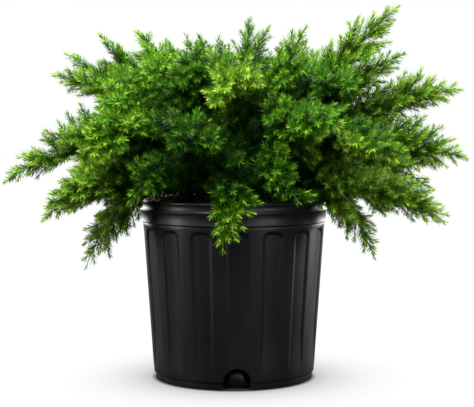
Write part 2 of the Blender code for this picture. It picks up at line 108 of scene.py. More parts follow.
def edit_all():
    """Opens the active piece in edit mode, with all of it selected."""
    bpy.ops.object.mode_set(mode="EDIT")
    select_in_mesh("SELECT")


def close_up():
    """Turns all faces outwards and leaves edit mode."""
    select_in_mesh("SELECT")
    bpy.ops.mesh.normals_make_consistent(inside=False)
    bpy.ops.object.mode_set(mode="OBJECT")


def fix_in_place(piece):
    """Moves a piece's place, turn and scale into its mesh."""
    pick(piece)
    bpy.ops.object.transform_apply(location=True, rotation=True, scale=True)
    return piece


def disc(sides, radius, height=0.0, fill="NGON"):
    drop_selection()
    bpy.ops.mesh.primitive_circle_add(vertices=sides, radius=radius, fill_type=fill, location=(0, 0, height))
    return fix_in_place(bpy.context.object)


def smooth(piece, degrees):
    """Shades a piece smooth, with hard edges where it bends by more."""
    pick(piece)
    bpy.ops.object.shade_smooth_by_angle(angle=math.radians(degrees))


def apply_modifier(piece, kind, **settings):
    pick(piece)
    modifier = piece.modifiers.new(kind.title(), kind)
    for name, value in settings.items():
        setattr(modifier, name, value)
    bpy.ops.object.modifier_apply(modifier=modifier.name)


def extrude_rings(radius, height, steps):
    """Extrudes what is selected step by step, each time to the next radius and height."""
    for next_radius, next_height in steps:
        shrink = next_radius / radius
        bpy.ops.mesh.extrude_region_move(TRANSFORM_OT_translate={"value": (0, 0, next_height - height)})
        bpy.ops.transform.resize(value=(shrink, shrink, 1))
        radius, height = next_radius, next_height


def rings_up(radius, height, steps, columns):
    """A solid grown from a flat disc, ring by ring up its outside and on over its top."""
    piece = disc(columns, radius, height)
    edit_all()
    extrude_rings(radius, height, steps)
    close_up()
    return piece


def body_radius(z):
    share = (z - FOOT_RING_Z) / (BAND_FOOT_Z - FOOT_RING_Z)
    return BODY_FOOT_RADIUS + share * (BODY_TOP_RADIUS - BODY_FOOT_RADIUS)


def rings(radius, height, *offsets):
    """Rings of a profile, each by how far it lies out from a radius and up from a height."""
    return [(radius + out, height + up) for out, up in offsets]


def pot_steps():
    """(radius, height) up the outside, over the lip and down the inside to the floor."""
    steps = rings(FOOT_RADIUS, 0.0, (-0.0003, 0.0004), (0, 0.0014))
    steps += rings(FOOT_RADIUS, FOOT_RING_Z, (0, -0.0006), (0.0004, 0))
    steps += rings(BODY_FOOT_RADIUS, FOOT_RING_Z, (-0.0005, 0.0002), (0, 0.0008))
    heights = [FLUTE_FOOT_Z + FLUTE_RUNOUT * i / 7 for i in range(8)]
    heights += [heights[-1] + (FLUTE_TOP_Z - FLUTE_ARCH - heights[-1]) * i / 13 for i in range(1, 14)]
    heights += [FLUTE_TOP_Z - FLUTE_ARCH + FLUTE_ARCH_STEP * i for i in range(1, 16)]
    steps += [(body_radius(z), z) for z in heights]
    steps += rings(BODY_TOP_RADIUS, BAND_FOOT_Z, (0, -0.0022), (-0.0004, -0.0006), (0.0004, 0))
    steps += rings(RIM_RADIUS, BAND_FOOT_Z, (-0.0006, 0.0003), (-0.0002, 0.0012), (-0.001, 0.0045))
    steps += rings(RIM_RADIUS, LEDGE_Z, (-0.001, -0.005), (-0.0003, -0.0022), (0, -0.0015))
    steps += rings(RIM_RADIUS, LEDGE_Z, (0, -0.0012), (-0.0005, -0.0001), (-0.0014, 0))
    steps += rings(LIP_RADIUS, LEDGE_Z, (-0.0002, 0.0001), (-0.0006, 0.0008))
    steps += rings(LIP_RADIUS, POT_HEIGHT, (-0.0006, -0.004), (0, -0.0022), (0.0003, -0.0016))
    steps += rings(LIP_RADIUS, POT_HEIGHT, (0.0003, -0.0013), (-0.0002, -0.0001), (-0.0012, 0))
    steps += rings(LIP_INNER_RADIUS, POT_HEIGHT, (0.0012, 0), (0.0004, -0.0004), (0, -0.0014))
    steps += rings(LIP_INNER_RADIUS, LEDGE_Z, (0, 0.001), (-0.0008, 0))
    return steps + [(LIP_INNER_RADIUS - 0.001, BAND_FOOT_Z), (INNER_FOOT_RADIUS, FLOOR_THICKNESS)]


def flute_share(angle_deg, z):
    """How far down into a flute a point of the wall lies, from 0 on a ridge to 1 on the flute's bed."""
    pitch = 360 / FLUTES
    off_deg = abs((angle_deg - POT_TURN_DEG + pitch / 2) % pitch - pitch / 2)
    across = math.radians(off_deg - FLUTE_HALF_DEG) * body_radius(z)
    above = max(z - FLUTE_TOP_Z, FLUTE_FOOT_Z - z)
    edge = max(across, above)
    over_corner = z - (FLUTE_TOP_Z - FLUTE_CORNER)
    if over_corner > 0:
        edge = max(edge, math.hypot(max(across + FLUTE_CORNER, 0.0), over_corner) - FLUTE_CORNER)
    share = min(max(-edge / FLUTE_EDGE, 0.0), max((z - FLUTE_FOOT_Z) / FLUTE_RUNOUT, 0.0), 1.0)
    return share * share * (3 - 2 * share)


def flute_the_wall(piece):
    group = piece.vertex_groups.new(name="flutes")
    for vertex in piece.data.vertices:
        x, y, z = vertex.co
        if FLUTE_FOOT_Z < z < FLUTE_TOP_Z + FLUTE_EDGE and math.hypot(x, y) > body_radius(z) - 0.0005:
            group.add([vertex.index], flute_share(math.degrees(math.atan2(y, x)), z), "REPLACE")
    apply_modifier(piece, "DISPLACE", strength=-FLUTE_DEPTH, mid_level=0.0, vertex_group="flutes")


def arched_block(width, height, foot_z, outer, depth, bulge):
    """An arched block at +X that runs inwards. Its inner end swells back out by bulge, in rounded steps."""
    block = disc(NICHE_ARCH_POINTS, width / 2)
    edit_all()
    bpy.ops.transform.rotate(value=math.radians(90), orient_axis="Y", center_override=(0, 0, 0))
    bpy.ops.object.mode_set(mode="OBJECT")
    for vertex in block.data.vertices:
        if vertex.co.z < SAME_POINT:
            vertex.co.z = foot_z - height + width / 2
            if abs(vertex.co.y) > width / 4:
                vertex.co.y = math.copysign(width / 2, vertex.co.y)
        vertex.co.x = outer
        vertex.co.z += height - width / 2
    edit_all()
    bpy.ops.mesh.remove_doubles(threshold=SAME_POINT)
    select_in_mesh("SELECT")
    bpy.ops.mesh.dissolve_limited(angle_limit=math.radians(1))
    select_in_mesh("SELECT")
    inner = outer - depth
    bpy.ops.mesh.extrude_region_move(TRANSFORM_OT_translate={"value": (inner - outer, 0, 0)})
    for share in (0.5, 0.33, 0.17) if bulge else ():
        bpy.ops.mesh.inset(thickness=width / 9, depth=0)
        bpy.ops.transform.translate(value=(bulge * share, 0, 0))
    close_up()
    return block


def turned(piece, azimuth_deg):
    """Turns a piece that was made at +X about the pot's axis."""
    piece.rotation_euler.z = math.radians(azimuth_deg)
    return fix_in_place(piece)


def combine(piece, other, operation):
    apply_modifier(piece, "BOOLEAN", object=other, operation=operation, solver="EXACT")
    bpy.data.objects.remove(other, do_unlink=True)


def feed(tree, shader, **inputs):
    """Sets a shader node's inputs, each to a value or by a link from another node's output."""
    for name, value in inputs.items():
        socket = shader.inputs[name.replace("_", " ")]
        if isinstance(value, bpy.types.NodeSocket):
            tree.links.new(value, socket)
        else:
            socket.default_value = value
    return shader


def node(tree, kind, **inputs):
    return feed(tree, tree.nodes.new(kind), **inputs)


def new_finish(name, roughness, specular):
    """A material with its surface shader, and Object coordinates to lay patterns by."""
    made = bpy.data.materials.new(name)
    made.use_nodes = True
    tree = made.node_tree
    surface = feed(tree, tree.nodes["Principled BSDF"], Roughness=roughness, Specular_IOR_Level=specular)
    place = tree.nodes.new("ShaderNodeTexCoord").outputs["Object"]
    return made, tree, surface, place


def stretched(tree, place, scale):
    return node(tree, "ShaderNodeMapping", Vector=place, Scale=scale).outputs["Vector"]


def noise(tree, place, scale, **inputs):
    return node(tree, "ShaderNodeTexNoise", Vector=place, Scale=scale, **inputs).outputs["Fac"]


def ramp(tree, value, stops):
    """A colour ramp of (position, colour) stops, fed by a value."""
    made = node(tree, "ShaderNodeValToRGB", Fac=value)
    while len(made.color_ramp.elements) < len(stops):
        made.color_ramp.elements.new(0.5)
    for element, (position, colour) in zip(made.color_ramp.elements, stops):
        element.position = position
        element.color = (*colour, 1.0)
    return made.outputs["Color"]


def relief(tree, surface, height, strength, distance):
    """Bump on a surface from a height, over any bump that it already has."""
    bump = node(tree, "ShaderNodeBump", Strength=strength, Distance=distance, Height=height)
    for link in surface.inputs["Normal"].links:
        feed(tree, bump, Normal=link.from_socket)
    feed(tree, surface, Normal=bump.outputs["Normal"])


def black_plastic():
    made, tree, surface, place = new_finish("black_polyethylene", 0.36, 0.30)
    flow = noise(tree, stretched(tree, place, (26.0, 26.0, 5.0)), 1.0, Detail=4.0, Roughness=0.6)
    tone = ramp(tree, flow, [(0.3, (0.0025, 0.0025, 0.0026)), (0.7, (0.0045, 0.0045, 0.0046))])
    gloss = ramp(tree, flow, [(0.25, (0.31, 0.31, 0.31)), (0.75, (0.42, 0.42, 0.42))])
    feed(tree, surface, Base_Color=tone, Roughness=gloss)
    relief(tree, surface, noise(tree, place, 420.0, Detail=2.0), 0.10, 0.0002)
    drag = noise(tree, stretched(tree, place, (60.0, 60.0, 9.0)), 1.0, Detail=3.0)
    relief(tree, surface, drag, 0.22, 0.0006)
    return made


pot = rings_up(FOOT_RADIUS - 0.0014, 0.0, pot_steps(), POT_COLUMNS)
pot.name = "nursery_pot"
flute_the_wall(pot)
for drain in range(DRAINS):
    azimuth = POT_TURN_DEG + 360 / DRAINS * drain
    wall_depth = DRAIN_DEPTH + DRAIN_WALL - (FOOT_RADIUS - INNER_FOOT_RADIUS - SHELL_ROOT)
    shell = arched_block(
        DRAIN_WIDTH + 2 * DRAIN_WALL, DRAIN_HEIGHT + DRAIN_WALL, FLOOR_THICKNESS / 4,
        INNER_FOOT_RADIUS + SHELL_ROOT, wall_depth, 0,
    )
    combine(pot, turned(shell, azimuth), "UNION")
    niche = arched_block(
        DRAIN_WIDTH, DRAIN_HEIGHT, -PAST_FACE,
        RIM_RADIUS, RIM_RADIUS - FOOT_RADIUS + DRAIN_DEPTH, NICHE_BULGE,
    )
    combine(pot, turned(niche, azimuth), "DIFFERENCE")
    slot_place = (FOOT_RADIUS - 0.010, 0, SLOT_HEIGHT / 2 - PAST_FACE / 2)
    drop_selection()
    bpy.ops.mesh.primitive_cube_add(size=1, location=slot_place)
    slot = bpy.context.object
    slot.scale = (SLOT_DEPTH, SLOT_WIDTH, SLOT_HEIGHT)
    combine(pot, turned(fix_in_place(slot), azimuth), "DIFFERENCE")
smooth(pot, 32)
pot.data.materials.clear()
pot.data.materials.append(black_plastic())
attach(pot, "root")
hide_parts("pot")


# ==== Potting mix ====
# Damp shredded bark and peat, filled by hand to a finger's breadth below the lip. Its crumbly top is one
# mesh, and the larger bark chips lie loose on it.

SOIL_TOP_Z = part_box("soil")[1].z
SOIL_RADIUS = LIP_INNER_RADIUS - 0.0022
SOIL_HUMP = 0.0016  # how far the crumbs of its top stand up
SOIL_NECK_Z = DRAIN_HEIGHT + DRAIN_WALL + 0.003  # below this the mix is held in by the niches' walls
SOIL_CLEAR = 0.001  # between the mix and the pot
SOIL_NECK_RADIUS = FOOT_RADIUS - DRAIN_DEPTH - DRAIN_WALL - SOIL_CLEAR
SOIL_SIDES = 36
CRUMB_CUTS = 17
CRUMB_SIZE = 0.0065
CHIPS = 900
CHIP_SIZES = ((0.003, 0.0085), (0.0012, 0.0036), (0.0006, 0.0018))  # least and most length, width, thickness
CHIP_SEED = 11


def crumbly_disc():
    piece = disc(SOIL_SIDES, SOIL_RADIUS, SOIL_TOP_Z - SOIL_HUMP / 2, "TRIFAN")
    edit_all()
    bpy.ops.mesh.subdivide(number_cuts=CRUMB_CUTS, smoothness=0.0)
    bpy.ops.object.mode_set(mode="OBJECT")
    crumbs = bpy.data.textures.new("crumbs", "CLOUDS")
    crumbs.noise_scale = CRUMB_SIZE
    crumbs.noise_depth = 3
    apply_modifier(
        piece, "DISPLACE", texture=crumbs, texture_coords="LOCAL", strength=SOIL_HUMP * 2.4, mid_level=0.55,
    )
    bpy.ops.object.mode_set(mode="EDIT")
    select_in_mesh("DESELECT")
    bpy.ops.mesh.select_mode(type="EDGE")
    bpy.ops.mesh.select_non_manifold()
    extrude_rings(SOIL_RADIUS, SOIL_TOP_Z, [
        (INNER_FOOT_RADIUS - SOIL_CLEAR, SOIL_NECK_Z), (SOIL_NECK_RADIUS, SOIL_NECK_Z),
        (SOIL_NECK_RADIUS, FLOOR_THICKNESS + SOIL_CLEAR),
    ])
    bpy.ops.mesh.edge_face_add()
    bpy.ops.mesh.select_mode(type="VERT")
    close_up()
    return piece


def put_in_scene(name, data):
    made = bpy.data.objects.new(name, data)
    bpy.context.scene.collection.objects.link(made)
    return made


def mesh_from_arrays(name, points, corners):
    """A mesh piece of triangles, or of other equal polygons, with flat faces."""
    data = bpy.data.meshes.new(name)
    faces, sides = corners.shape
    data.vertices.add(len(points))
    data.vertices.foreach_set("co", points.astype(np.float32).ravel())
    data.loops.add(faces * sides)
    data.loops.foreach_set("vertex_index", corners.astype(np.int32).ravel())
    data.polygons.add(faces)
    data.polygons.foreach_set("loop_start", np.arange(0, faces * sides, sides, dtype=np.int32))
    data.update(calc_edges=True)
    data.shade_flat()
    return put_in_scene(name, data)


def bark_chips():
    """Chips as splinters: a six-cornered bar each, turned and tilted at random, lying on the mix."""
    dice = np.random.default_rng(CHIP_SEED)
    turn = dice.uniform(0, math.tau, CHIPS)
    away = SOIL_RADIUS * 0.965 * np.sqrt(dice.uniform(0.015, 1.0, CHIPS))
    centre = np.stack([away * np.cos(turn), away * np.sin(turn), np.full(CHIPS, SOIL_TOP_Z + 0.0004)], 1)
    size = np.stack([dice.uniform(low, high, CHIPS) for low, high in CHIP_SIZES], 1) / 2
    size *= np.clip((SOIL_RADIUS - away) / 0.006, 0.25, 1.0)[:, None]
    bar = np.array([
        (-1, -0.8, -1), (0.1, -1, -1), (1, -0.3, -1), (0.8, 0.8, -1), (-0.2, 1, -1), (-0.9, 0.5, -1),
        (-0.8, -0.6, 1), (0.1, -0.8, 1), (0.75, -0.2, 1), (0.6, 0.6, 1), (-0.2, 0.7, 1), (-0.7, 0.4, 1),
    ], float)
    spin = dice.uniform(0, math.tau, CHIPS)
    tilt = dice.uniform(-0.45, 0.45, (CHIPS, 2))
    local = bar[None] * size[:, None] * dice.uniform(0.8, 1.2, (CHIPS, 12, 3))
    flat_x = local[..., 0] * np.cos(spin)[:, None] - local[..., 1] * np.sin(spin)[:, None]
    flat_y = local[..., 0] * np.sin(spin)[:, None] + local[..., 1] * np.cos(spin)[:, None]
    lifted = local[..., 2] + flat_x * tilt[:, :1] + flat_y * tilt[:, 1:]
    points = centre[:, None] + np.stack([flat_x, flat_y, lifted], 2)
    sides = [(i, (i + 1) % 6, (i + 1) % 6 + 6, i + 6) for i in range(6)]
    ends = [(0, 3, 2, 1), (0, 5, 4, 3), (6, 7, 8, 9), (6, 9, 10, 11)]
    corners = np.array(sides + ends)[None] + (np.arange(CHIPS) * 12)[:, None, None]
    return mesh_from_arrays("bark_chips", points.reshape(-1, 3), corners.reshape(-1, 4))


def earthy(name, dark, light, scale):
    made, tree, surface, place = new_finish(name, 0.9, 0.25)
    crumb = node(tree, "ShaderNodeTexVoronoi", Vector=place, Scale=scale)
    feed(tree, surface, Base_Color=ramp(tree, crumb.outputs["Distance"], [(0.05, light), (0.75, dark)]))
    relief(tree, surface, noise(tree, place, scale * 2.2, Detail=6.0, Roughness=0.7), 0.6, 0.001)
    return made


soil = crumbly_disc()
soil.name = "potting_mix"
soil.data.materials.append(earthy("potting_mix", (0.010, 0.007, 0.005), (0.050, 0.032, 0.020), 330.0))
chips = bark_chips()
chips.data.materials.append(earthy("bark_chip", (0.030, 0.017, 0.010), (0.120, 0.066, 0.036), 420.0))
for piece in (soil, chips):
    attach(piece, "root")
    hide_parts("soil")


# ==== Trunk ====
# One short woody stem with a small root flare, leaning a little. Its thin red-brown bark flakes in long
# upright strips, which stand out as real relief.

TRUNK_HEIGHT = 0.095
TRUNK_LEAN = Vector((0.006, 0.003, 0.0))
TRUNK_RADII = (0.0135, 0.0100, 0.0088, 0.0082, 0.0076, 0.0068, 0.0052)
TRUNK_STATIONS = (0.0, 0.07, 0.2, 0.4, 0.6, 0.8, 1.0)
TRUNK_FOOT_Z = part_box("trunk")[0].z
TRUNK_RINGS = 40
TRUNK_SIDES = 40
BARK_DEPTH = 0.0011


def trunk_axis(z):
    share = (z - TRUNK_FOOT_Z) / TRUNK_HEIGHT
    return Vector((0.0, 0.0, z)) + TRUNK_LEAN * max(0.0, share - TRUNK_STATIONS[1])


def trunk_radius(z):
    return float(np.interp((z - TRUNK_FOOT_Z) / TRUNK_HEIGHT, TRUNK_STATIONS, TRUNK_RADII))


def bark_relief(piece, depth, grain):
    """Pushes the bark in and out in flakes about grain across."""
    flakes = bpy.data.textures.new(f"{piece.name}_flakes", "CLOUDS")
    flakes.noise_scale = grain
    flakes.noise_depth = 2
    flakes.noise_type = "HARD_NOISE"
    apply_modifier(piece, "DISPLACE", texture=flakes, texture_coords="LOCAL", strength=depth, mid_level=0.6)


def bark(name, pale, deep):
    made, tree, surface, place = new_finish(name, 0.85, 0.3)
    strips = noise(tree, stretched(tree, place, (900.0, 900.0, 170.0)), 1.0, Detail=6.0, Roughness=0.65)
    feed(tree, surface, Base_Color=ramp(tree, strips, [(0.3, deep), (0.52, pale), (0.8, deep)]))
    relief(tree, surface, strips, 0.7, 0.0008)
    return made


ring_heights = [TRUNK_FOOT_Z + TRUNK_HEIGHT * (i / TRUNK_RINGS) ** 1.15 for i in range(1, TRUNK_RINGS + 1)]
trunk_rings = [(trunk_radius(z), z) for z in ring_heights[:-1]]
trunk_rings.append((TRUNK_RADII[-1] - 0.0008, TRUNK_FOOT_Z + TRUNK_HEIGHT))
trunk = rings_up(TRUNK_RADII[0], TRUNK_FOOT_Z, trunk_rings, TRUNK_SIDES)
trunk.name = "bark_trunk"
for vertex in trunk.data.vertices:
    lean = trunk_axis(vertex.co.z)
    vertex.co.x += lean.x
    vertex.co.y += lean.y
bark_relief(trunk, BARK_DEPTH, 0.0035)
trunk.data.materials.append(bark("red_brown_bark", (0.150, 0.070, 0.032), (0.040, 0.018, 0.010)))
smooth(trunk, 50)
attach(trunk, "root")
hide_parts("trunk")


# ==== Boughs ====
# Thin woody limbs that leave the trunk level, at staggered heights, and arch outwards. Each is one tapering
# limb with flaking bark, and ends where its plume of foliage grows on from it.

Tier = namedtuple("Tier", "start_low start_high lift inner shoulder bare")
Plume = namedtuple("Plume", "tier azimuth reach height droop")

# start_low and start_high: where a tier's limbs leave the trunk. lift: how steeply they rise from it.
# inner: the share of a limb that is bough. shoulder: how far out the limb turns. bare: the share of a plume's
# stem without shoots.
TIERS = {
    "low": Tier(0.203, 0.209, 0.040, 0.46, 0.70, 0.02),
    "skirt": Tier(0.217, 0.231, 0.015, 0.36, 0.63, 0.02),
    "side": Tier(0.239, 0.257, 0.020, 0.34, 0.60, 0.02),
    "top": Tier(0.265, 0.283, 0.025, 0.0, 0.50, 0.20),
}

# By tier, each plume's tip: its azimuth in degrees, its reach from the pot's axis, its height, and how far
# the limb's shoulder lies above it. The plumes are numbered through from 0.
PLUME_TIPS = {
    "low": (
        (196, 0.183, 0.139, 0.14), (-16, 0.1745, 0.15, 0.135), (-94, 0.168, 0.169, 0.125),
        (142, 0.187, 0.167, 0.125), (50, 0.208, 0.184, 0.11),
    ),
    "skirt": (
        (182, 0.279, 0.239, 0.084), (207, 0.244, 0.2, 0.072), (-2, 0.284, 0.267, 0.042),
        (-23, 0.263, 0.196, 0.062), (-126, 0.195, 0.222, 0.06), (-66, 0.178, 0.222, 0.06),
        (72, 0.27, 0.225, 0.065), (120, 0.262, 0.226, 0.064), (20, 0.272, 0.227, 0.068),
    ),
    "side": (
        (4, 0.281, 0.352, -0.005), (176, 0.222, 0.37, -0.015), (-108, 0.215, 0.286, 0.03),
        (-60, 0.225, 0.305, 0.025), (-36, 0.24, 0.272, 0.035), (-146, 0.235, 0.29, 0.035),
        (96, 0.245, 0.33, 0.01), (146, 0.25, 0.3, 0.025), (50, 0.25, 0.33, 0.005),
    ),
    "top": (
        (12, 0.21, 0.4565, -0.085), (168, 0.214, 0.397, -0.062), (146, 0.151, 0.428, -0.06),
        (67, 0.051, 0.441, -0.09), (-32, 0.1, 0.423, -0.08), (-132, 0.082, 0.412, -0.08),
        (-8, 0.205, 0.393, -0.045), (101, 0.15, 0.401, -0.07), (44, 0.151, 0.405, -0.07),
        (-93, 0.1, 0.397, -0.06),
    ),
}
PLUMES = [Plume(tier, *tip) for tier, tips in PLUME_TIPS.items() for tip in tips]
START_LEVELS = 3
COLLAR = 0.004
COLLAR_GAP = 0.0005
SWAY_DEG = 7  # how far a limb's shoulder may swing to either side of its tip
SWAY_SEED = 7
BOUGH_BASE_RADIUS = 0.0031
BOUGH_TIP_RADIUS = 0.0019
BOUGH_POINTS = 26
BOUGH_BARK_DEPTH = 0.0005


def outward(azimuth):
    angle = math.radians(azimuth)
    return Vector((math.cos(angle), math.sin(angle), 0.0))


def starts_on_trunk():
    """Where on the trunk each plume's limb leaves, staggered so that neighbours don't touch."""
    heights = {}
    for name, tier in TIERS.items():
        members = [i for i, plume in enumerate(PLUMES) if plume.tier == name]
        members.sort(key=lambda i: PLUMES[i].azimuth % 360)
        levels = START_LEVELS + (len(members) % START_LEVELS == 1)
        rise = (tier.start_high - tier.start_low) / (levels - 1)
        for order, index in enumerate(members):
            heights[index] = tier.start_low + rise * (order % levels)
    return heights


def limb_path(plume, start_z, sway):
    """The four control points of the curve that a limb follows from its collar on the trunk to its tip."""
    tier = TIERS[plume.tier]
    away = outward(plume.azimuth)
    start = trunk_axis(start_z) + away * (trunk_radius(start_z) + COLLAR_GAP + COLLAR)
    tip = away * plume.reach + Vector((0.0, 0.0, plume.height))
    shoulder = outward(plume.azimuth + sway) * plume.reach * tier.shoulder
    shoulder.z = plume.height + plume.droop
    first = start + away * (0.016 + 0.16 * plume.reach) + Vector((0.0, 0.0, tier.lift))
    return start, first, shoulder, tip


def along(path, low, high, count):
    """Points on a limb's path, as an array."""
    t = np.linspace(low, high, count)[:, None]
    a, b, c, d = (np.array(point) for point in path)
    return a * (1 - t) ** 3 + b * 3 * (1 - t) ** 2 * t + c * 3 * (1 - t) * t**2 + d * t**3


def limb_paths():
    starts = starts_on_trunk()
    dice = random.Random(SWAY_SEED)
    return [limb_path(plume, starts[i], dice.uniform(-SWAY_DEG, SWAY_DEG)) for i, plume in enumerate(PLUMES)]


def bough(points):
    """A tapering limb: a smooth curve with a round bevel, made a mesh."""
    data = bpy.data.curves.new("bough", "CURVE")
    data.dimensions = "3D"
    data.bevel_depth = 1.0
    data.bevel_resolution = 4
    data.use_fill_caps = True
    spline = data.splines.new("POLY")
    spline.points.add(len(points) - 1)
    for number, (spot, point) in enumerate(zip(spline.points, points)):
        spot.co = (*point, 1.0)
        spot.radius = BOUGH_BASE_RADIUS + (BOUGH_TIP_RADIUS - BOUGH_BASE_RADIUS) * number / (len(points) - 1)
    pick(put_in_scene("bough", data))
    bpy.ops.object.convert(target="MESH")
    return bpy.context.object


paths = limb_paths()
limbs = []
for plume, path in zip(PLUMES, paths):
    inner = TIERS[plume.tier].inner
    if inner:
        collar = np.array(path[0] - outward(plume.azimuth) * (COLLAR + COLLAR_GAP))
        limbs.append(bough(np.vstack([collar, along(path, 0.0, inner, BOUGH_POINTS)])))
pick(*limbs)
bpy.ops.object.join()
boughs = bpy.context.object
boughs.name = "bark_boughs"
edit_all()
bpy.ops.mesh.remove_doubles(threshold=1e-6)
close_up()
bark_relief(boughs, BOUGH_BARK_DEPTH, 0.0022)
boughs.data.materials.append(bark("young_bark", (0.170, 0.078, 0.034), (0.055, 0.024, 0.012)))
smooth(boughs, 50)
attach(boughs, "root")
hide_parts(*sorted(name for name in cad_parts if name.startswith("bough_")))


# ==== Plumes of foliage ====
# From each bough's tip, or straight from the trunk, a plume grows: one woody stem that carries branches,
# which carry shoots, which are brushes of short stiff needles in whorls of three. Shoot tips are this year's
# growth, soft and yellow-green, with a painted glow on top. The needles darken inwards as they age, and their
# tones also carry painted shade inside and under the crown, and painted light on its outside and top.

PLUME_SEED = 23
GOLDEN = math.radians(137.5)
LEAFY_FROM = 0.14  # the share of a limb, from the trunk, where its foliage begins
STEM_RADII = (0.0017, 0.0004)
BRANCH_RADII = (0.0010, 0.0004)
SHOOT_RADII = (0.0006, 0.00035)
WOODY_SHARE = 0.62  # of a stem or a branch, past which its bark is still green

# Twigs of one kind on their parent. step: between two of them. first: from the parent's tip to the outermost.
# least, share and longest: their length, which grows by share with the distance from the outermost one.
Twigs = namedtuple("Twigs", "step first least share longest lean_deg")
BRANCHES = Twigs(0.0120, 0.060, 0.028, 0.36, 0.072, 36)
SHOOTS = Twigs(0.0049, 0.014, 0.008, 0.38, 0.025, 42)
TWIG_POINTS = 5
BRANCH_POINTS = 8
TWIG_BEND = 0.22  # how far a twig curves back towards its parent's way, as a share of its length
TWIG_RISE = 0.06  # and upwards
TWIG_SWAY = 0.04
TRIES = 3  # ways round its parent that a twig may try before it is left out
TRY_TURN = 1.3
BRANCH_BARE = 0.006
FORK_BARE = 0.004
FORK_BEND = 0.4  # how long a fork keeps its limb's way, as a share of its length

HEART_BRANCHES = 84
HEART_LENGTH = 0.115
HEART_LEAN_DEG = (80, 25)  # from the trunk's way, at its foot and at its tip
HEART_BARE = 0.02
# The heart's needles are duller partly for their age and partly as painted shade deep inside the crown.
HEART_BASE = -0.4  # levels by which the heart's needles are duller

NEEDLE_LENGTH = 0.0090
NEEDLE_HALF_WIDTH = 0.00064
NEEDLE_FOLD = 0.00035
WHORL_STEP = 0.0011
INNER_PART = 0.42  # how far out the shaded heart of the crown reaches
INNER_THINNING = 2.2  # in the crown's dark heart the whorls stand this much further apart
NEEDLE_LEAN_DEG = 50
TIP_LEAN_DEG = 18
TIP_TUFT = 0.0050  # over this length at a shoot's end the needles close up round its bud
YOUNG = 0.013  # the length of new growth at the end of each shoot

# Needle colours from the crown's heart out to its new growth, with the record's slot for each.
TONES = {
    "deep": ((0.0060, 0.0300, 0.0016), "needles_deep"),
    "dark": ((0.0160, 0.0640, 0.0022), "needles_mid"),
    "green": ((0.040, 0.124, 0.0035), "needles_green"),
    "fresh": ((0.082, 0.226, 0.0065), "needles_bright"),
    "lime": ((0.224, 0.372, 0.030), "needles_bright"),
}

# A needle's level is its place in TONES. How far out and up in the crown it grows, from 0 at the heart to
# about 1 at the outer surface, sets it by these pairs: darker inside, partly for age and partly as painted
# shade, and lighter outside and on top as painted light. The crown's underside gets painted shade, and what
# hangs free gets painted light.
LEVELS_OUTWARDS = ((0.00, -2.4), (0.30, -0.5), (0.52, 0.9), (0.74, 1.65), (0.92, 2.1), (1.12, 2.7))
CROWN_RADIUS = 0.255
CROWN_RISE = 0.165  # from HEART_Z to the crown's top
HEART_Z = 0.280
# Painted shade under the crown: needles low in it and near the trunk, where the crown above shades them, get
# darker tones.
UNDERSIDE_TOP_Z = 0.265
UNDERSIDE_DEPTH = 0.035
UNDERSIDE_RADIUS = 0.152
UNDERSIDE_EDGE = 0.04
UNDERSIDE_PAINTED_SHADE = 0.47
# Painted light: needles that hang free outside the rim, below its height, get lighter tones.
HANGING_PAINTED_LIGHT = 0.15
# The tips' yellow-green is their new growth, lifted further by a painted glow where light shines through
# them.
YOUNG_AND_GLOW_LEVELS = 1.8  # how much brighter the very tip of a shoot is than its foot

# Painted light and shade on old growth: lit patches lighter and shaded hollows darker than their depth gives.
# Each has the place's x and z, its size, and the levels.
PAINTED_LIGHT_AND_SHADE_PATCHES = (
    (0.14, 0.236, 0.056, 2.4), (-0.165, 0.232, 0.04, 1.8), (0.02, 0.352, 0.022, 1.4),
    (0.172, 0.33, 0.02, 0.8), (-0.108, 0.3, 0.02, 1.0), (-0.075, 0.33, 0.026, -1.2),
    (0.1, 0.328, 0.04, -1.3), (0.03, 0.285, 0.022, -0.9), (-0.112, 0.256, 0.03, -1.3),
    (-0.058, 0.262, 0.046, -2.2), (0.07, 0.232, 0.024, -1.8), (0.0, 0.385, 0.04, -0.6),
    (0.165, 0.302, 0.026, -1.1), (0.105, 0.25, 0.018, 1.0),
)
PAINTED_LIGHT_AND_SHADE_PATCHES_END_Y = 0.06  # the far side of the crown has none
PAINTED_LIGHT_AND_SHADE_PATCHES_MAX_LEVEL = 2.25  # they lighten no needle past this

Shoot = namedtuple("Shoot", "line base")
Fork = namedtuple("Fork", "share azimuth reach height fresher", defaults=(0.0,))
